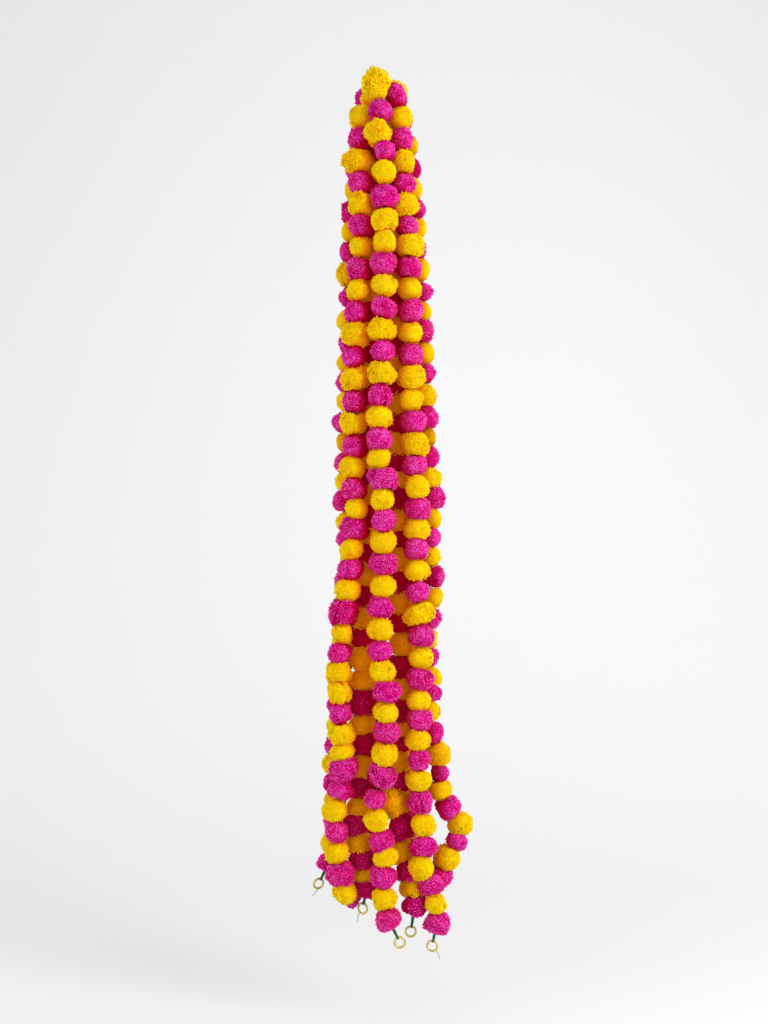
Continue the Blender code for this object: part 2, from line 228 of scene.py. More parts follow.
def tapeFinish():
    finish = Finish("greenTape", Specular_IOR_Level=0.25)
    cloud = finish.noise(tape["cloudScale"], 3)
    finish.drive(
        Base_Color=finish.mix(cloud, tape["dark"], tape["light"]),
        Roughness=cloud * 0.25 + 0.35,
        Normal=finish.bump(finish.noise(tape["bumpScale"], 2), tape["bumpDepth"], tape["bumpStrength"]),
    )
    return finish.material


thread = {"dark": (0.10, 0.19, 0.17), "light": (0.34, 0.45, 0.41), "cloudScale": 1400}


def threadFinish():
    finish = Finish("paleThread", Roughness=0.7)
    cloud = finish.noise(thread["cloudScale"], 2)
    finish.drive(Base_Color=finish.mix(cloud, thread["dark"], thread["light"]))
    return finish.material


materials["brass"] = brassFinish()
materials["tape"] = tapeFinish()
materials["thread"] = threadFinish()
print("materials made")


def addPiece(name, points, faces, used, slot, replaced=(), faceMaterials=None, carried=None, normals=None):
    # A piece from its points and faces, with what the shaders read on each point
    mesh = bpy.data.meshes.new(name)
    mesh.from_pydata(points, [], faces)
    for key in used:
        mesh.materials.append(materials[key])
    if faceMaterials is not None:
        mesh.polygons.foreach_set("material_index", faceMaterials)
    for attribute, values in (carried or {}).items():
        made = mesh.attributes.new(attribute, "FLOAT_VECTOR", "POINT")
        made.data.foreach_set("vector", values.astype(np.float32).ravel())
    mesh.shade_smooth()
    if normals is not None:
        mesh.normals_split_custom_set_from_vertices(normals)
    piece = bpy.data.objects.new(name, mesh)
    bpy.context.scene.collection.objects.link(piece)
    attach(piece, "root")
    if replaced:
        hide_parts(*replaced)
    return piece


def unit(vectors):
    return vectors / np.linalg.norm(vectors, axis=-1, keepdims=True)


def gridFaces(rows, columns, loop=False):
    # Quads between the rows of a grid whose columns close round. loop joins the last row to the first
    row = np.arange(rows if loop else rows - 1)[:, None]
    column = np.arange(columns)[None, :]
    after, below = (column + 1) % columns, (row + 1) % rows
    here, beneath = row * columns, below * columns
    corners = (here + column, here + after, beneath + after, beneath + column)
    return np.stack([np.broadcast_to(c, (len(row), columns)) for c in corners], axis=-1).reshape(-1, 4)


def closedFaces(rows, columns):
    # The faces of a grid whose columns close round, then a fan at each end to the two points that follow it
    column = np.arange(columns)
    after, first, last = (column + 1) % columns, rows * columns, rows * columns + 1
    lowest = (rows - 1) * columns
    quads = gridFaces(rows, columns)
    start = np.stack([np.full(columns, first), after, column], axis=1)
    end = np.stack([np.full(columns, last), lowest + column, lowest + after], axis=1)
    return np.vstack([start, end, quads[:, [0, 1, 2]], quads[:, [0, 2, 3]]])


# Routes in millimetres: the first number counts flowers from the tie, at 0, then x, y and z. Flower 7's
# centre is at 7. The colours alternate from the first one, apart from the flowers in repeats. ring is the
# end ring's centre, and ringTurn its turn in degrees. tufts, size and shaded set how many tufts a string's
# flowers have, how large they are, and how much painted shade near flowers put on their colour. The rest
# is for single flowers: shaped stretches them across, through and along the string, moved shifts them in
# millimetres, frayed makes the upper fibres longer, and parted is the angle and depth of a cleft.
garlandStrings = {
    "front": {
        "route": [
            (0, -1, -8.5, -20), (1, -7, -31, -25), (2, -5, -50, -81), (3, -5, -54, -115),
            (4, 1, -57, -143), (6, 2, -60, -222), (11, 2, -63, -407), (17, -3, -65, -626),
            (20, 0, -65, -728), (24, 2, -65, -874), (27, -3, -64, -982), (29, 6, -64, -1051),
            (31, 6, -63, -1119), (33, -3, -62, -1193), (34, -13, -61, -1231), (36, -5, -60, -1300),
            (37, 3, -59, -1329), (39, 2, -57, -1399), (40, 12, -55, -1436),
        ],
        "first": "yellow", "repeats": (8, 34), "ring": (30, -53, -1474), "ringTurn": 4,
        "frayed": {1: 0.15}, "parted": {1: (1.75, 0.35)},
        "shaped": {
            1: (1.12, 1.42, 1.36), 2: (1.1, 1.1, 1.38), 3: (1.05, 1.1, 1), 4: (0.78, 1, 0.9),
            34: (0.87, 1, 1), 37: (1.36, 1, 1.08), 39: (0.8, 0.9, 1),
        },
        "moved": {
            1: (0, -2, -10), 2: (2, 0, 4), 4: (3, 0, 0), 33: (5, 0, 0), 35: (5, 0, 0), 39: (3, 0, 0),
        },
    },
    "front_left": {
        "route": [
            (0, -4, -4, -33), (1, -32, -26, -79), (2, -37, -33, -117), (4, -36, -38, -195),
            (7, -35, -42, -303), (11, -43, -45, -450), (16, -47, -46, -639), (20, -46, -47, -779),
            (22, -53, -48, -847), (25, -66, -50, -955), (27, -74, -51, -1019), (30, -67, -51, -1123),
            (33, -69, -49, -1217), (34, -79, -48, -1252), (37, -71, -45, -1359), (38, -62, -40, -1393),
            (39, -56, -13, -1411),
        ],
        "first": "yellow", "repeats": (28, 31, 33), "ring": (-53, 23, -1418), "ringTurn": 90,
        # more painted shade on this string than on the outer ones
        "shaded": 0.85,
        "shaped": {15: (1, 1, 1.1), 16: (1, 1, 1.06), 39: (0.85, 0.95, 1)},
        "moved": {1: (4, 0, 0), 35: (3, 0, 0), 36: (6, 0, 0), 37: (6, 0, 0), 39: (4, 0, 0)},
    },
    "front_right": {
        "route": [
            (0, 4, -4, -33), (0.5, 9, -14, -56), (1, 30, -24, -81), (2, 32, -30, -119), (4, 39, -36, -195),
            (7, 44, -40, -301), (13, 50, -43, -523), (18, 57, -45, -708), (22, 58, -45, -848),
            (26, 65, -46, -995), (29, 61, -46, -1103), (32, 64, -45, -1203), (35, 70, -44, -1314),
            (36, 70, -44, -1349), (37, 83, -42, -1377), (38, 91, -40, -1412), (39, 93, -38, -1444),
        ],
        "first": "yellow", "repeats": (14,), "ring": (85, -36, -1485), "ringTurn": -12,
        "shaped": {1: (0.88, 1, 1), 34: (1.1, 1, 1), 36: (1.22, 1.1, 1.15), 38: (0.8, 0.9, 1.1)},
    },
    "left": {
        "route": [
            (0, -5.4, 5.4, -22), (1, -19, 40, -23), (2, -32, 38, -62), (4, -42, 32, -123),
            (6, -44, 24, -194), (9, -50, 18, -301), (13, -54, 12, -458), (17, -59, 8, -596),
            (21, -60, 6, -732), (24, -58, 5, -833), (28, -66, 4, -976), (32, -78, 3, -1116),
            (36, -88, 2, -1252), (39, -92, 0, -1355),
        ],
        "first": "pink", "ring": (-109, -4, -1388), "ringTurn": 33,
        "shaped": {14: (1.1, 1, 1), 18: (1.12, 1, 1), 27: (1.15, 1, 1)},
        "moved": {
            1: (-4, 0, -3), 2: (6, 0, 0), 3: (7, 0, 0), 4: (7, 0, 0), 6: (-5, 0, 0), 8: (-8, 0, 0),
            9: (-8, 0, 0), 10: (-6, 0, 0), 12: (-4, 0, 0), 14: (-10, 0, 0), 17: (-6, 0, 0),
            18: (-11, 0, 0), 24: (6, 0, 0), 27: (-4, 0, 0), 32: (6, 0, 0), 33: (8, 0, 0), 34: (9, 0, 0),
            35: (9, 0, 0), 36: (12, 0, 0), 37: (14, 0, 0), 38: (12, 0, 0), 39: (5, 0, 0),
        },
    },
    "right": {
        "route": [
            (0, 5.4, 5.4, -22), (1, 21, 38, -22), (2, 32, 34, -71), (3, 42, 31, -114), (5, 49, 25, -187),
            (8, 57, 19, -297), (13, 69, 13, -475), (18, 77, 9, -658), (23, 82, 7, -827), (27, 82, 5, -969),
            (31, 84, 4, -1093), (33, 89, 2, -1167), (35, 98, 0, -1229), (36, 112, -2, -1261),
            (37, 132, -4, -1284), (38, 128, -6, -1313), (39, 112, -6, -1344), (40, 97, -2, -1376),
        ],
        "first": "yellow", "ring": (89, 5, -1414), "ringTurn": 8,
        "shaped": {
            3: (1.12, 1, 1), 8: (1.15, 1, 1.1), 13: (1.1, 1, 1), 17: (1.15, 1, 1), 21: (1.1, 1, 1),
            24: (1.1, 1, 1),
        },
        "moved": {
            1: (6, 0, 2), 2: (5, 0, 0), 3: (11, 0, 0), 4: (8, 0, 0), 6: (10, 0, 0), 7: (10, 0, 0),
            8: (9, 0, 0), 9: (10, 0, 0), 10: (5, 0, 0), 11: (10, 0, 0), 13: (5, 0, 0), 16: (6, 0, 0),
            17: (12, 0, 0), 20: (6, 0, 0), 21: (8, 0, 0), 24: (12, 0, 0), 25: (5, 0, 0), 26: (-4, 0, 0),
            27: (-7, 0, 0), 28: (-4, 0, 0), 31: (-5, 0, 0), 33: (7, 0, 0), 34: (15, 0, 0), 35: (-4, 0, 0),
            37: (5, 0, 0), 38: (5, 0, 0),
        },
    },
    "inner_left": {
        "route": [
            (0, -8.2, 0.5, -27), (1, -21, 2, -41), (2, -22, 8, -73), (4, -18, 2, -134), (8, -17, -4, -270),
            (14, -18, -6, -475), (20, -21, -7, -688), (26, -31, -8, -892), (30, -34, -9, -1038),
            (34, -36, -11, -1185), (38, -36, -14, -1311), (39, -33, -15, -1340), (40, -29, -16, -1370),
            (41, -26, -16, -1392),
        ],
        "first": "yellow", "repeats": (30,), "ring": (-33, -17, -1427), "ringTurn": -30,
        # this inner string gets more painted shade
        "tufts": 480, "size": 1.24, "shaded": 1.0,
        "shaped": {1: (0.6, 0.7, 0.75)},
        "moved": {
            1: (5, 0, 0), 28: (-3, 0, 0), 35: (-3, 0, 0), 36: (-7, 0, 0), 37: (-6, 0, 0), 38: (-4, 0, 0),
        },
    },
    "inner_right": {
        "route": [
            (0, 7.1, -4.1, -25), (1, 24, -23, -39), (2, 20, 9, -72), (4, 19, 2, -143), (8, 22, -3, -285),
            (15, 28, -5, -536), (22, 26, -6, -761), (27, 34, -8, -938), (31, 35, -9, -1089),
            (35, 31, -11, -1209), (37, 34, -13, -1288), (39, 43, -18, -1361), (40, 49, -20, -1389),
            (41, 56, -22, -1419),
        ],
        "first": "pink", "ring": (49, -22, -1465), "ringTurn": 6,
        # this inner string gets more painted shade
        "tufts": 480, "size": 1.24, "shaded": 1.0,
        "shaped": {1: (0.6, 0.8, 0.95), 39: (0.78, 1, 0.9), 40: (0.78, 1, 0.85), 41: (0.88, 1, 0.95)},
        "moved": {
            1: (-5, 0, -6), 39: (4, 0, 0), 40: (5, 0, 0), 41: (3, 0, 0), 17: (-4, 0, 0), 18: (-7, 0, 0),
            19: (-4, 0, 0), 33: (-5, 0, 0), 34: (-9, 0, 0), 35: (-9, 0, 0), 36: (-12, -7, 3),
            37: (-3, 0, 0), 38: (-7, 0, -2),
        },
    },
    "back_left": {
        "route": [
            (0, -4, 4, -33), (1, -14, 58, -102), (2, -17, 57, -138), (6, -22, 52, -284),
            (12, -22, 48, -500), (20, -16, 48, -786), (28, -14, 46, -1072), (33, -17, 45, -1249),
            (36, -16, 42, -1355),
        ],
        "first": "pink", "ring": (-19, 40, -1393), "ringTurn": 20,
        "tufts": 580, "size": 1.12,
    },
    "back_right": {
        "route": [
            (0, 4, 4, -33), (1, 23, 63, -86), (2, 24, 61, -122), (6, 30, 54, -266), (12, 40, 50, -482),
            (20, 46, 49, -768), (28, 44, 48, -1054), (33, 42, 46, -1232), (36, 42, 44, -1338),
        ],
        "first": "yellow", "ring": (43, 42, -1376), "ringTurn": -16,
        "tufts": 580, "size": 1.12,
    },
}



def routePoints(route, counts):
    # Cubics through the route's points: s runs from 0 to 1 along a span, and the cubics of s weigh its two
    # ends and the slopes there. The slope at a point is a mean of its two spans' slopes, each weighted by
    # the other span
    knots, points = route[:, 0], route[:, 1:] * mm
    spans = np.diff(knots)
    steps = np.diff(points, axis=0) / spans[:, None]
    inner = steps[:-1] * spans[1:, None] + steps[1:] * spans[:-1, None]
    slopes = np.vstack([steps[:1], inner / (spans[1:] + spans[:-1])[:, None], steps[-1:]])
    k = np.clip(np.searchsorted(knots, counts) - 1, 0, len(spans) - 1)
    span = spans[k][:, None]
    s = (np.asarray(counts)[:, None] - knots[k][:, None]) / span
    start, end, out, into = points[k], points[k + 1], slopes[k] * span, slopes[k + 1] * span
    place = (2 * s**3 - 3 * s**2 + 1) * start + (s**3 - 2 * s**2 + s) * out
    place = place + (3 * s**2 - 2 * s**3) * end + (s**3 - s**2) * into
    along = (6 * s**2 - 6 * s) * (start - end) + (3 * s**2 - 4 * s + 1) * out + (3 * s**2 - 2 * s) * into
    return place, unit(along)


def framesAlong(directions):
    # Across, through and along a string
    across = unit(np.cross(directions, (0, 1, 0)))
    return np.stack([across, np.cross(directions, across), directions], axis=1)


endNeck = 17.5 * mm  # from the last flower's centre to where the cord comes out of it

# Each string's flowers and their colours, its own random draws, and where its lower end is
for name, string in garlandStrings.items():
    string["route"] = np.array(string["route"], float)
    string["count"] = int(string["route"][-1, 0])
    numbers = np.arange(1, string["count"] + 1)
    string["centres"], string["directions"] = routePoints(string["route"], numbers)
    colours = [string["first"]]
    for number in numbers[1:]:
        other = "pink" if colours[-1] == "yellow" else "yellow"
        colours.append(colours[-1] if number in string.get("repeats", ()) else other)
    string["colours"] = colours
    string["random"] = np.random.default_rng(sum(map(ord, name)))
    string["ringCentre"] = np.array(string["ring"]) * mm
    last = string["centres"][-1]
    string["down"] = unit(string["ringCentre"] - last)
    string["endNeck"] = last + string["down"] * endNeck

print("routes worked out,", sum(s["count"] for s in garlandStrings.values()), "flowers")


flower = {
    "radius": 24.5 * mm,
    "halfHeight": 22.5 * mm,
    "sizeSpread": 0.05,
    "stretch": 0.075,  # how unlike a ball the flowers are, as a spread of each half size
    "tilt": 0.27,  # radians, as a spread
    "shift": 1.8 * mm,  # how far a flower sits off the cord, as a spread
    "lumps": 0.264,  # share of the radius
    "lumpWaves": 6,  # how many waves make the lumps
    "lumpTurns": 2.6,  # and how quickly they change round the flower
    "creaseDepth": 0.09,  # share of the radius
    "creaseWidth": 0.06,
    "creaseWaves": 9,
    "creaseTurns": 5.5,
    "dimpleDepth": 0.12,  # at both ends of the cord's hole
    "dimpleWidth": 0.03,
    "clefts": [0, 0, 0.2, 0.3],  # the depths that a flower's cleft is picked from
    "cleftWidth": 0.1,
    "cleftFrom": 1.6,  # how soon the cleft is full, away from the flower's middle
    "holeShare": 0.3,  # how many flowers show a parting
    "holeDepth": 0.22,
    "holeWidth": 0.025,
    "holeTilt": 0.5,  # under 1, it is nearer to the flower's waist than to its ends
    "press": 0.13,  # how far the firmer of two flowers presses into the other, as a share of their distance
    "pressRadius": 24 * mm,
    "leastPress": 0.15,  # share of press
    "pressTurn": 0.1,
    "gap": 0.2 * mm,
    "leastRoom": 3 * mm,
    "neighbourReach": 62 * mm,
    "softness": 14,  # how sharply a flower flattens on its neighbours
    "tufts": 655,
    "tuftSpread": 0.35,  # how unevenly the tufts stand, as a share of their distance
    "tuftRoot": 0.89,  # where a tuft starts, as a share of the reach
    "rootRadius": 2.8 * mm,
    "rootUneven": 0.15,
    "rootTurns": (0, 2.094, 4.189),  # the three corners of a root, in radians
    "lean": 1.3 * mm,
    "facets": 0.42,  # how much a tuft's sides turn away from its tip in the light
    "unevenLength": 0.035,
    "longShare": 0.12,
    "longer": 0.08,
    # painted shade at the roots: frayed flowers' roots are painted less dark
    "frayedRoot": 0.35,  # how pale the long fibres are at the root, from 0 to 1
    "core": 0.91,
    "coreRows": 8,
    "coreColumns": 11,
    # the core is painted with the roots' shade
    "coreFluff": [0.1, 0.5, 0.5],  # the core's height, tint and shelter for the shader
    # painted shade from near flowers: shade, shadeReach, itself, shaded, shadedEnd and shadeFade
    "shade": 2.6,  # how soon near flowers deepen the colour
    "shadeReach": 130 * mm,
    "itself": 8 * mm,  # a centre nearer than this is the flower's own
    "shaded": 0.6,  # how much of the shade shows, along a string
    "shadedEnd": 0.55,  # and at its lower end
    "shadeFade": 16,  # over how many flowers it changes
    # painted shade in a flower's parting, and how wide it is
    "partingShade": 0.6,
    "partingWidth": 0.03,
}


def spiralBall(count):
    # Points evenly over a ball: equal steps of height, turned by the golden angle
    k = np.arange(count) + 0.5
    height, turn = 1 - 2 * k / count, k * math.pi * (3 - math.sqrt(5))
    level = np.sqrt(1 - height**2)
    return np.stack([level * np.cos(turn), level * np.sin(turn), height], axis=1)


def coreBall(rows, columns):
    # A ball as rings of latitude, from the lower pole to the upper one: sin(angle) cos(turn), sin(angle)
    # sin(turn) and -cos(angle), with every second ring half a step on
    row = np.arange(1, rows)[:, None]
    angle = np.pi * row / rows
    turn = 2 * np.pi * (np.arange(columns)[None, :] + 0.5 * (row % 2)) / columns
    height = np.broadcast_to(-np.cos(angle), turn.shape)
    rings = np.stack([np.sin(angle) * np.cos(turn), np.sin(angle) * np.sin(turn), height], axis=-1)
    rings = rings.reshape(-1, 3)
    points = np.vstack([rings, [(0, 0, -1), (0, 0, 1)]])
    return points, closedFaces(rows - 1, columns)


def wallsAround(string, index):
    # Walls half way to each near flower, and before the rings and taped ends: each wall's direction, and
    # how far it stands from the flower's centre
    centre = string["centres"][index]
    away = otherCentres[id(string)] - centre
    far = np.linalg.norm(away, axis=1)
    near = far < flower["neighbourReach"]
    normals, limits = away[near] / far[near, None], far[near] / 2 - flower["gap"]
    away = keptClear[:, :3] - centre
    far = np.linalg.norm(away, axis=1)
    near = far < flower["neighbourReach"]
    normals = np.vstack([normals, away[near] / far[near, None]])
    limits = np.concatenate([limits, far[near] - keptClear[near, 3]])
    return normals, np.maximum(limits, flower["leastRoom"])


def contactsOf(string):
    # Between neighbours on the string the firmer flower, which is picked at random, bulges into the other
    # as a ball whose apex is a little past the middle. Each contact is the ball's middle, its radius and
    # the firmer flower's number
    centres, random = string["centres"], string["random"]
    contacts = []
    for upper in range(string["count"] - 1):
        firm, soft = (upper, upper + 1) if random.random() < 0.5 else (upper + 1, upper)
        step = centres[soft] - centres[firm]
        way = unit(unit(step) + random.normal(0, flower["pressTurn"], 3))
        share = 0.5 + flower["press"] * random.uniform(flower["leastPress"], 1)
        apex = centres[firm] + step * share
        radius = flower["pressRadius"] * string.get("size", 1)
        contacts.append((apex - way * radius, radius, firm))
    return contacts


def roomToBall(directions, centre, ball, radius, inside):
    # The distance along each direction to a ball, from in it or from outside: the part of the way to its
    # middle that lies along the direction, plus or minus the half chord there, and 1 m where it misses
    away = ball - centre
    ahead = directions @ away
    under = ahead**2 - away @ away + radius**2
    root = np.sqrt(np.maximum(under, 0))
    if inside:
        return np.maximum(ahead + root, flower["leastRoom"])
    return np.where((under > 0) & (ahead > 0), np.maximum(ahead - root, flower["leastRoom"]), 1.0)


def shapeOf(string, index):
    # A flower's own frame, half sizes and irregularities
    random = string["random"]

    def single(kind, usual):
        return string.get(kind, {}).get(index + 1, usual)

    axes = framesAlong(string["directions"][index:index + 1])[0]
    lean = random.normal(0, flower["tilt"], 2)
    along = unit(axes[2] + lean[0] * axes[0] + lean[1] * axes[1])
    across = unit(axes[0] - (axes[0] @ along) * along)
    axes = np.array([across, np.cross(along, across), along])
    size = (1 + random.normal(0, flower["sizeSpread"])) * string.get("size", 1)
    halves = flower["radius"] * size * np.array(single("shaped", (1, 1, 1)))
    halves = halves * (1 + random.normal(0, flower["stretch"], 3))
    halves[2] *= flower["halfHeight"] / flower["radius"]
    centre = string["centres"][index] + np.array(single("moved", (0, 0, 0))) * mm
    cleft = random.uniform(0, 2 * math.pi), random.choice(flower["clefts"])
    touching = [string["contacts"][k] for k in (index - 1, index) if 0 <= k < string["count"] - 1]
    shift = axes[0] * random.normal(0, flower["shift"]) + axes[1] * random.normal(0, flower["shift"])
    # the painted shade fades towards the lower end of a string
    fromEnd = min(1, (string["count"] - 1 - index) / flower["shadeFade"])
    shaded = string.get("shaded", flower["shaded"])
    return {
        "centre": centre + shift,
        "balls": [(ball, radius, firm == index) for ball, radius, firm in touching],
        "axes": axes,
        "halves": halves,
        "waves": random.normal(0, flower["lumpTurns"], (flower["lumpWaves"], 3)),
        "ripples": random.normal(0, flower["creaseTurns"], (flower["creaseWaves"], 3)),
        "phases": random.uniform(0, 2 * math.pi, flower["lumpWaves"] + flower["creaseWaves"]),
        "cleft": single("parted", cleft),
        "hole": unit(random.normal(size=3) * (1, 1, flower["holeTilt"])),
        "holeDepth": flower["holeDepth"] * (random.random() < flower["holeShare"]),
        "fray": single("frayed", 0),
        "walls": wallsAround(string, index),
        "shaded": flower["shadedEnd"] + (shaded - flower["shadedEnd"]) * fromEnd,
    }


def creasesOf(directions, shape):
    # 1 along thin lines between the clumps of petals, where a mean of sine waves passes 0, and 0 away from
    # them: e^-(mean / width) squared
    phases = shape["phases"][flower["lumpWaves"]:]
    waves = np.sin(directions @ shape["ripples"].T + phases).mean(axis=1)
    return np.exp(-(waves / flower["creaseWidth"]) ** 2)


def facing(cosine, width):
    # 1 straight at a place, and e^-((1 - cosine) / width) away from it
    return np.exp(-(1 - cosine) / width)


def flowerReach(directions, shape):
    # How far the fluff reaches along each direction: an ellipsoid, one over the root of the summed squares
    # of direction / half size, with lumps and creases, a dimple at each end of the cord's hole, a parting
    # and a cleft in some. Neighbours flatten it softly: (sum of each reach^-softness)^(-1 / softness)
    own = directions @ shape["axes"].T
    reach = ((own / shape["halves"]) ** 2).sum(axis=1) ** -0.5
    lumps = np.sin(directions @ shape["waves"].T + shape["phases"][:flower["lumpWaves"]]).mean(axis=1)
    reach = reach * (1 + flower["lumps"] * lumps)
    reach = reach * (1 - flower["creaseDepth"] * creasesOf(directions, shape))
    reach = reach * (1 - flower["dimpleDepth"] * facing(np.abs(own[:, 2]), flower["dimpleWidth"]))
    reach = reach * (1 - shape["holeDepth"] * facing(own @ shape["hole"], flower["holeWidth"]))
    angle, depth = shape["cleft"]
    beside = own[:, 1] * math.cos(angle) - own[:, 0] * math.sin(angle)
    before = own[:, 0] * math.cos(angle) + own[:, 1] * math.sin(angle)
    groove = np.exp(-(beside / flower["cleftWidth"]) ** 2) * np.clip(before * flower["cleftFrom"], 0, 1)
    reach = reach * (1 - depth * groove * np.abs(own[:, 2]) ** 0.5)
    normals, limits = shape["walls"]
    towards = np.maximum(directions @ normals.T, 1e-4)
    hard = flower["softness"]
    pressed = reach**-hard + ((limits[None, :] / towards) ** -hard).sum(axis=1)
    for ball, radius, inside in shape["balls"]:
        pressed = pressed + roomToBall(directions, shape["centre"], ball, radius, inside) ** -hard
    return pressed ** (-1 / hard)


def shelterOf(tips, ways, centre):
    # How far the near flowers close in on each tip: 1 - e^(-sum), where each flower adds the share of the
    # view that it fills, (radius / distance) squared, times how straight the tip points at it. It sets
    # where the fluff gets painted shade and a painted glow
    far = np.linalg.norm(allCentres - centre, axis=1)
    near = allCentres[(far > flower["itself"]) & (far < flower["shadeReach"])]
    away = near[None] - tips[:, None]
    far = np.linalg.norm(away, axis=2)
    straight = np.clip(np.einsum("tnk,tk->tn", away, ways) / far, 0, 1)
    filled = np.minimum(1, (flower["radius"] / far) ** 2)
    return 1 - np.exp(-flower["shade"] * (straight * filled).sum(axis=1))


def fluffyFlower(shape, count, random):
    # Tufts as slender three-sided points that lean a little, round a closed core. Each tip is at the centre
    # + direction x reach, and the three corners of its root stand round direction x reach x tuftRoot
    centre = shape["centre"]
    spin = np.linalg.qr(random.normal(size=(3, 3)))[0]
    ways = spiralBall(count) @ spin
    ways = unit(ways + random.normal(0, flower["tuftSpread"] / math.sqrt(count), (count, 3)))
    reach = flowerReach(ways, shape)
    longer = (random.random(count) < flower["longShare"]) * flower["longer"] * random.random(count)
    upper = np.clip(ways[:, 2] * 1.6 - 0.2, 0, 1)
    longer = longer + shape["fray"] * random.random(count) ** 2 * upper
    length = reach * (1 + random.normal(0, flower["unevenLength"], count) + longer)
    side = unit(np.cross(ways, random.normal(size=(count, 3))))
    other = np.cross(ways, side)
    lean = random.normal(0, flower["lean"], (count, 2))
    tips = centre + ways * length[:, None] + side * lean[:, :1] + other * lean[:, 1:]
    roots = centre + ways * (reach * flower["tuftRoot"])[:, None]
    uneven = flower["rootUneven"]
    spread = flower["rootRadius"] * random.uniform(1 - uneven, 1 + uneven, count)[:, None]
    outward = [side * math.cos(turn) + other * math.sin(turn) for turn in flower["rootTurns"]]
    tufts = np.stack([tips, *(roots + spread * out for out in outward)], axis=1)
    normals = np.stack([ways, *(unit(ways + flower["facets"] * out) for out in outward)], axis=1)
    sides = np.array([(0, 1, 2), (0, 2, 3), (0, 3, 1), (3, 2, 1)])  # the last one closes the root
    faces = (4 * np.arange(count)[:, None, None] + sides).reshape(-1, 3)

    # Painted shade: tips that near flowers close in, or that lie in a parting, get the fluff's deeper colour
    # and painted glow
    parting = facing(ways @ (shape["hole"] @ shape["axes"]), flower["partingWidth"])
    shelter = shelterOf(tips, ways, centre) * shape["shaded"]
    shelter = np.clip(shelter + flower["partingShade"] * parting * (shape["holeDepth"] > 0), 0, 1)
    # Painted shade at the roots: height is 1 at a tip and 0 at a root, or frayedRoot on a frayed flower
    low = flower["frayedRoot"] * (shape["fray"] > 0)
    height, tint = np.tile([1.0, low, low, low], count), np.repeat(random.random(count), 4)
    tuftFluff = np.stack([height, tint, np.repeat(shelter, 4)], axis=1)

    # The core carries the painted shade of the roots, with low height, half shelter and full crease; the
    # tufts' creases carry painted shade too
    corePoints, coreFaces = coreBall(flower["coreRows"], flower["coreColumns"])
    corePoints = corePoints @ shape["axes"]
    core = centre + corePoints * (flowerReach(corePoints, shape) * flower["core"])[:, None]
    crease = np.concatenate([np.repeat(creasesOf(ways, shape), 4), np.full(len(core), 1.0)])
    hue, paleness = (np.full(len(crease), random.random()) for _ in range(2))
    carried = {
        "fluff": np.vstack([tuftFluff, np.tile(flower["coreFluff"], (len(core), 1))]),
        "flower": np.stack([hue, paleness, crease], axis=1),
        "normals": np.vstack([normals.reshape(-1, 3), corePoints]),
    }
    return np.vstack([tufts.reshape(-1, 3), core]), np.vstack([faces, coreFaces + 4 * count]), carried


def flowerPiece(name, string):
    # All the flowers of one string as one mesh, yellow and pink
    random = string["random"]
    points, faces, carried, kinds, start = [], [], [], [], 0
    for index in range(string["count"]):
        count = string.get("tufts", flower["tufts"])
        own, triangles, values = fluffyFlower(shapeOf(string, index), count, random)
        points.append(own)
        faces.append(triangles + start)
        carried.append(values)
        kinds.append(np.full(len(triangles), int(string["colours"][index] == "pink")))
        start += len(own)
    joined = {key: np.vstack([values[key] for values in carried]) for key in carried[0]}
    normals = joined.pop("normals")
    piece = addPiece(
        "flowers_" + name, np.vstack(points), np.vstack(faces), ("yellow", "pink"), "flowers",
        ["string_" + name], np.concatenate(kinds), joined, normals,
    )
    return len(piece.data.polygons)


# What the fluff keeps clear of, each a ball's middle and radius: the tie and its ring, taped ends and rings
clearOf = {
    "tape": 3.3 * mm,
    "tapeShare": 0.7,  # of the way from the last flower to the ring's centre
    "ring": 10.5 * mm,
    "tie": 7.5 * mm,
    "tieTop": -13 * mm,
    "tieFoot": -32 * mm,
}
keptClear = [(0, 0, z, clearOf["tie"]) for z in np.linspace(clearOf["tieTop"], clearOf["tieFoot"], 6)]
keptClear.append((0, 0, 0, clearOf["ring"]))
for string in garlandStrings.values():
    for share in np.linspace(0, clearOf["tapeShare"], 5):
        place = string["endNeck"] + (string["ringCentre"] - string["endNeck"]) * share
        keptClear.append((*place, clearOf["tape"]))
    keptClear.append((*string["ringCentre"], clearOf["ring"]))
keptClear = np.array(keptClear)

# All the flowers' centres, and for each string those of the other strings
allCentres = np.vstack([string["centres"] for string in garlandStrings.values()])
otherCentres = {
    id(string): np.vstack([o["centres"] for o in garlandStrings.values() if o is not string])
    for string in garlandStrings.values()
}
for string in garlandStrings.values():
    string["contacts"] = contactsOf(string)

triangles = sum(flowerPiece(name, string) for name, string in garlandStrings.items())
print("flowers made,", triangles, "triangles")


def sweep(path, wide, deep, columns, reference, loop=False):
    # An oval carried along a path: path + across wide cos(turn) + through deep sin(turn). The half widths
    # may change along the path and round it
    if loop:
        along = unit(np.roll(path, -1, axis=0) - np.roll(path, 1, axis=0))
    else:
        along = unit(np.gradient(path, axis=0))
    across = unit(np.cross(along, reference))
    through = np.cross(along, across)
    turn = 2 * np.pi * np.arange(columns)[None, :] / columns
    wide = np.broadcast_to(wide, (len(path), columns)) * np.cos(turn)
    deep = np.broadcast_to(deep, (len(path), columns)) * np.sin(turn)
    points = path[:, None] + across[:, None] * wide[..., None] + through[:, None] * deep[..., None]
    points = points.reshape(-1, 3)
    if loop:
        return points, gridFaces(len(path), columns, loop=True)
    points = np.vstack([points, path[:1], path[-1:]])
    return points, closedFaces(len(path), columns)


def joinParts(parts):
    # Several closed shapes as one mesh
    points, faces, start = [], [], 0
    for own, corners in parts:
        points.append(own)
        faces.extend(tuple(corner + start for corner in face) for face in corners)
        start += len(own)
    return np.vstack(points), faces


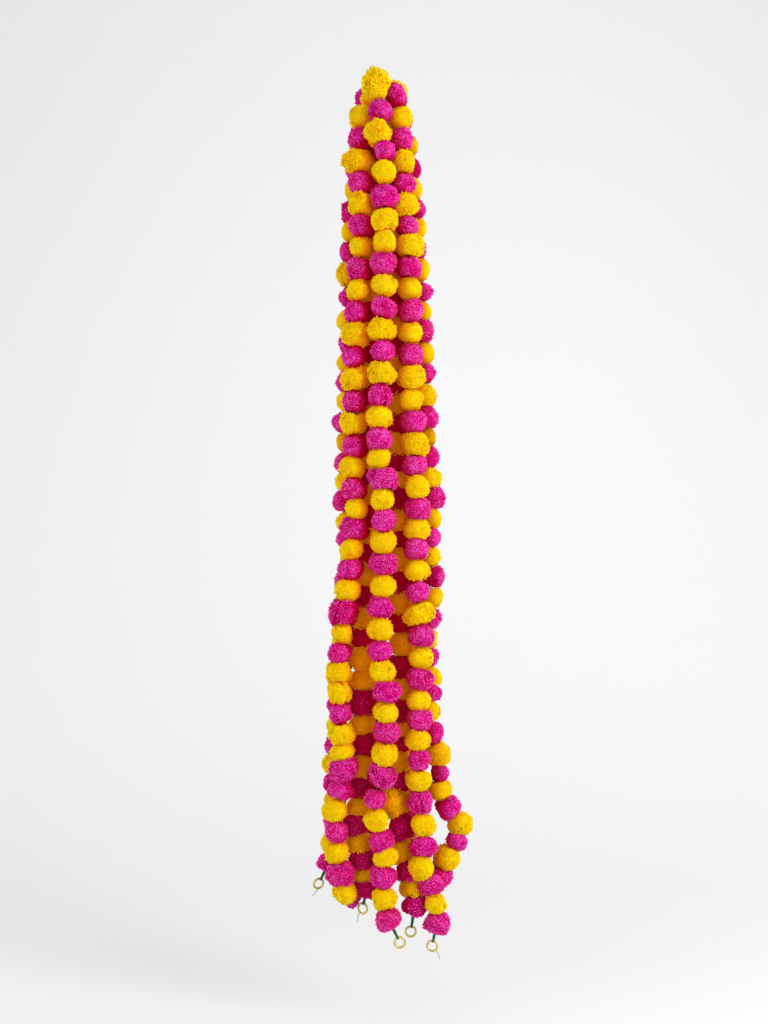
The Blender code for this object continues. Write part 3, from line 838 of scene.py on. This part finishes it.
def endFrame(string):
    # Along the ring's wire at its top, through the ring, and up the cord
    up = -string["down"]
    side = unit(np.array([1.0, 0, 0]) - up * up[0])
    turn = math.radians(string["ringTurn"])
    other = np.cross(up, side)
    first = side * math.cos(turn) + other * math.sin(turn)
    return np.array([first, np.cross(up, first), up])


wires = {
    "endRadius": 8.7 * mm,  # to the middle of the wire
    "hangRadius": 9.5 * mm,
    "wire": 1.85 * mm,  # half its thickness
    "points": 72,
    "columns": 12,
    "seamTurn": 0.9,  # where the wire's two ends meet, in radians
    "seamWidth": 0.035,
    "seamDepth": 0.35,
}


def wireRing(centre, axes, radius):
    # A round wire bent to a circle: centre + radius (cos(turn) first + sin(turn) up). The wire is thinner
    # by e^-((turn - seamTurn) / seamWidth) squared at the small gap where its two ends meet
    turn = np.linspace(0, 2 * math.pi, wires["points"], endpoint=False)
    path = centre + radius * (np.cos(turn)[:, None] * axes[0] + np.sin(turn)[:, None] * axes[2])
    seam = np.exp(-((turn - wires["seamTurn"]) / wires["seamWidth"]) ** 2)
    half = (wires["wire"] * (1 - wires["seamDepth"] * seam))[:, None]
    return sweep(path, half, half, wires["columns"], axes[1], loop=True)


wrapping = {
    "top": 3 * mm,  # the taped end's radius at the flower
    "foot": 2.2 * mm,  # and where it meets the ring
    "taper": 1.5,  # over 1 keeps it thick for longer
    "pitch": 2.6 * mm,
    "inner": 0.94,  # share of the radius where a turn of tape starts
    "edge": 0.1,  # and how much it rises to the edge of that turn
    "flat": 0.85,  # thickness through the ring, as a share of the width
    "start": 3 * mm,  # how far up in the last flower it starts
    "columns": 20,
    "step": 0.35 * mm,  # along the tape, from one row of points to the next
    "leastRows": 24,
    "eyeWall": 0.5 * mm,
    "eyeWidth": 1.8 * mm,
    "eyeSeat": 0.9,  # how far its middle stands off the wire, in walls
    "eyePoints": 32,
    "eyeColumns": 12,
}


def tapedStrap(top, foot, axes):
    # Tape wound round the cord: a rod that tapers by share^taper, and rises once in each slanting turn by
    # the square of the part of the turn that is done
    length = np.linalg.norm(top - foot)
    share = np.linspace(0, 1, max(wrapping["leastRows"], int(length / wrapping["step"])))
    path = top + (foot - top) * share[:, None]
    turn = np.arange(wrapping["columns"])[None, :] / wrapping["columns"]
    done = (share[:, None] * length / wrapping["pitch"] + turn) % 1
    half = wrapping["top"] + (wrapping["foot"] - wrapping["top"]) * share[:, None] ** wrapping["taper"]
    half = half * (wrapping["inner"] + wrapping["edge"] * done**2)
    return sweep(path, half, half * wrapping["flat"], wrapping["columns"], axes[1])


def tapeEye(centre, axes):
    # The tape's loop round the wire: a circle of an oval band that wavers with the sine of the turn
    turn = np.linspace(0, 2 * math.pi, wrapping["eyePoints"], endpoint=False)
    radius = wires["wire"] + wrapping["eyeWall"] * wrapping["eyeSeat"]
    path = centre + radius * (np.cos(turn)[:, None] * axes[1] + np.sin(turn)[:, None] * axes[2])
    wide = (wrapping["eyeWall"] * (1 + 0.15 * np.sin(5 * turn)))[:, None]
    deep = (wrapping["eyeWidth"] * (1 + 0.08 * np.sin(3 * turn + 1)))[:, None]
    return sweep(path, wide, deep, wrapping["eyeColumns"], axes[0], loop=True)


cord = {
    "radius": 1.25 * mm,
    "twist": 9 * mm,  # length of one full turn
    "groove": 0.86,  # share of the radius between two strands
    "strand": 0.2,  # and how much a strand stands above that
    "columns": 6,
    "bareEnd": 0.9,  # counted in flowers: finely from the tie to here, then in steps inside the flowers
    "barePoints": 40,
    "hiddenFrom": 1.1,
    "hiddenStep": 0.33,
    "end": 0.3,  # past the last flower's centre
}


def twistedCord(path):
    # Three strands: the radius swells with |cos(one and a half turns)|, three times in a turn, and the
    # swells wind along the cord
    along = np.concatenate([[0], np.cumsum(np.linalg.norm(np.diff(path, axis=0), axis=1))])
    turn = np.arange(cord["columns"])[None, :] / cord["columns"] - along[:, None] / cord["twist"]
    half = cord["radius"] * (cord["groove"] + cord["strand"] * np.abs(np.cos(3 * np.pi * turn)))
    return sweep(path, half, half, cord["columns"], (0.3, 1, 0.1))


tails = {
    "strand": 0.4 * mm,  # radius
    "twist": 3.2 * mm,
    "apart": 0.8,  # how far the strands are off the middle, as a share of their radius
    "endTaper": 0.4,
    "points": 56,
    "columns": 6,
    "smoothings": 6,
    "routes": {  # below three end rings, in millimetres from the ring's centre
        "left": [(-1.9, -1.2, -9.8), (-5, -2, -15), (-11, -3, -21)],
        "inner_left": [(-6.3, 3.1, -8.6), (-8, 1, -14), (-9.5, -1, -23)],
        "front_right": [(7.5, -1.5, -7.5), (10.5, -1.5, -14), (13, -2, -22)],
    },
}


def tailThread(path):
    # Two fine strands wound round each other: the smoothed route + apart x strand (cos(turn) across +
    # sin(turn) through), thinner towards the end by the sixth power of the share
    reach = np.linspace(0, 1, tails["points"])
    knots = np.linspace(0, 1, len(path))
    line = np.stack([np.interp(reach, knots, path[:, k]) for k in range(3)], axis=1)
    for _ in range(tails["smoothings"]):
        line[1:-1] = (line[:-2] + 2 * line[1:-1] + line[2:]) / 4
    length = np.linalg.norm(np.diff(path, axis=0), axis=1).sum()
    along = unit(np.gradient(line, axis=0))
    across = unit(np.cross(along, (0, 1, 0)))
    through = np.cross(along, across)
    half = tails["strand"] * (1 - tails["endTaper"] * reach[:, None] ** 6)
    aside = tails["apart"] * tails["strand"]
    strands = []
    for start in (0, math.pi):
        turn = (start + 2 * math.pi * reach * length / tails["twist"])[:, None]
        middle = line + aside * (np.cos(turn) * across + np.sin(turn) * through)
        strands.append(sweep(middle, half, half, tails["columns"], (0, 1, 0)))
    return joinParts(strands)


tie = {
    "radius": 6.7 * mm,
    "top": -13 * mm,
    "foot": -32 * mm,
    "strapStart": 1.5 * mm,  # how far down in the winding the strap to the ring starts
    "pitch": 1.35 * mm,  # from one turn of the winding to the next
    "groove": 0.95,  # share of the radius between two turns
    "ridge": 0.07,  # and how much a turn stands above that
    "drawnIn": 0.28,  # how much the ends are drawn in
    "rows": 112,
    "columns": 36,
}


def tieWinding():
    # Thread wound close round all the cords: a screw of half-round ridges, |sin(pi (height / pitch + turn))|,
    # drawn in at the ends by the eighth power of the way from the middle
    share = np.linspace(0, 1, tie["rows"])
    path = np.zeros((len(share), 3))
    path[:, 2] = tie["top"] + (tie["foot"] - tie["top"]) * share
    turn = np.arange(tie["columns"])[None, :] / tie["columns"]
    ridge = np.abs(np.sin(np.pi * (path[:, 2:] / tie["pitch"] + turn)))
    ends = 1 - tie["drawnIn"] * np.abs(2 * share - 1)[:, None] ** 8
    half = tie["radius"] * (tie["groove"] + tie["ridge"] * ridge) * ends
    return sweep(path, half, half, tie["columns"], (0, 1, 0))


def endPieces(name, string):
    # The ring, the taped end and the cord of one string
    axes = endFrame(string)
    holder = string["ringCentre"] + axes[2] * wires["endRadius"]
    ring = wireRing(string["ringCentre"], axes, wires["endRadius"])
    addPiece("ring_" + name, *ring, ("brass",), "ring", ["end_ring_" + name])
    start = string["endNeck"] + axes[2] * wrapping["start"]
    strap = tapedStrap(start, holder + axes[2] * wires["wire"], axes)
    taped = joinParts([strap, tapeEye(holder, axes)])
    addPiece("tape_" + name, *taped, ("tape",), "tape", ["taped_end_" + name])
    bare = np.linspace(0, cord["bareEnd"], cord["barePoints"])
    hidden = np.arange(cord["hiddenFrom"], string["count"] + cord["end"], cord["hiddenStep"])
    path = routePoints(string["route"], np.concatenate([bare, hidden]))[0]
    addPiece("cord_" + name, *twistedCord(path), ("tape",), "tape")


for name, string in garlandStrings.items():
    endPieces(name, string)
for name, points in tails["routes"].items():
    path = garlandStrings[name]["ringCentre"] + np.array(points) * mm
    addPiece("thread_" + name, *tailThread(path), ("thread",), "thread", ["thread_tail_" + name])

upright = np.eye(3)
hangRing = wireRing(np.zeros(3), upright, wires["hangRadius"])
addPiece("hangingRing", *hangRing, ("brass",), "ring", ["hang_ring"])
lowest = np.array([0, 0, -wires["hangRadius"]])
tieStart = np.array([0, 0, tie["top"] - tie["strapStart"]])
strap = tapedStrap(tieStart, lowest - (0, 0, wires["wire"]), upright * (-1, 1, 1))
tied = joinParts([tieWinding(), strap, tapeEye(lowest, upright)])
addPiece("tieWindings", *tied, ("tape",), "tape", ["top_tie"])
print("cords, rings, tape and thread made")


paper = {
    "floor": -1.62,
    "wall": 4.3,
    "bend": 3.5,  # radius
    "halfWidth": 6,
    "front": -4.5,
    "top": 4.5,
    "colour": (0.785, 0.785, 0.785),
}


def buildStage():
    # A pale sheet: flat on the floor, bent up in a quarter circle, and upright behind
    turn = np.linspace(0, math.pi / 2, 17)
    bendY = paper["wall"] - paper["bend"] + paper["bend"] * np.sin(turn)
    bendZ = paper["floor"] + paper["bend"] - paper["bend"] * np.cos(turn)
    y = np.concatenate([[paper["front"]], bendY, [paper["wall"]]])
    z = np.concatenate([[paper["floor"]], bendZ, [paper["top"]]])
    left = np.stack([np.full(len(y), -paper["halfWidth"]), y, z], axis=1)
    right = left * (-1, 1, 1)
    k = np.arange(len(y) - 1)
    faces = np.stack([k, k + len(y), k + 1 + len(y), k + 1], axis=1)
    mesh = bpy.data.meshes.new("stage")
    mesh.from_pydata(np.vstack([left, right]), [], faces)
    mesh.shade_smooth()
    finish = Finish("stagePaper", Roughness=0.9)
    finish.drive(Base_Color=paper["colour"])
    mesh.materials.append(finish.material)
    sheet = bpy.data.objects.new("stage", mesh)
    bpy.context.scene.collection.objects.link(sheet)


def aim(thing, target):
    # Turns a lamp so that its light goes towards the target
    away = np.array(thing.location) - np.array(target)
    flat = math.hypot(away[0], away[1])
    thing.rotation_euler = (math.atan2(flat, away[2]), 0, math.atan2(away[0], -away[1]))


# Places and sizes in metres. spread, in degrees, narrows the light of one lamp to the sheet behind
lamps = {
    "keyLamp": {"at": (2.45, -1.75, 0.0), "size": 1.8, "watts": 66, "towards": (0, 0, -0.75)},
    "fillLamp": {"at": (-2.2, -1.8, -0.6), "size": 2.2, "watts": 25, "towards": (0, 0, -0.75)},
    "sheetLamp": {
        "at": (0.5, -0.6, 1.6), "size": 1.8, "watts": 8, "towards": (0.6, 4.3, -0.4), "spread": 90,
    },
}


def buildLamp(name, values):
    data = bpy.data.lights.new(name, "AREA")
    data.shape = "DISK"
    data.size = values["size"]
    data.energy = values["watts"]
    data.spread = math.radians(values.get("spread", 180))
    lamp = bpy.data.objects.new(name, data)
    lamp.location = values["at"]
    lamp.visible_camera = False
    aim(lamp, values["towards"])
    bpy.context.scene.collection.objects.link(lamp)


studio = {"colour": (0.98, 0.98, 1.0), "strength": 0.9}


def buildWorld():
    world = bpy.data.worlds.new("studio")
    world.use_nodes = True
    background = world.node_tree.nodes["Background"]
    background.inputs["Color"].default_value = (*studio["colour"], 1)
    background.inputs["Strength"].default_value = studio["strength"]
    bpy.context.scene.world = world
    bpy.context.scene.view_settings.view_transform = "Standard"


# Level with the middle of the garland. viewHeight is what the camera sees at the garland's distance
cameraView = {"aside": 0.0034, "away": 2.4, "height": -0.75, "viewHeight": 1.7613, "sensor": 36}


def buildCamera():
    # The lens is sensor x distance / height of the view
    data = bpy.data.cameras.new("camera")
    data.sensor_fit = "VERTICAL"
    data.sensor_height = cameraView["sensor"]
    data.lens = cameraView["sensor"] / cameraView["viewHeight"] * cameraView["away"]
    camera = bpy.data.objects.new("camera", data)
    camera.location = (cameraView["aside"], -cameraView["away"], cameraView["height"])
    camera.rotation_euler = (math.pi / 2, 0, 0)
    bpy.context.scene.collection.objects.link(camera)
    bpy.context.scene.camera = camera


buildStage()
for name, values in lamps.items():
    buildLamp(name, values)
buildWorld()
buildCamera()
print("stage, light and camera made")
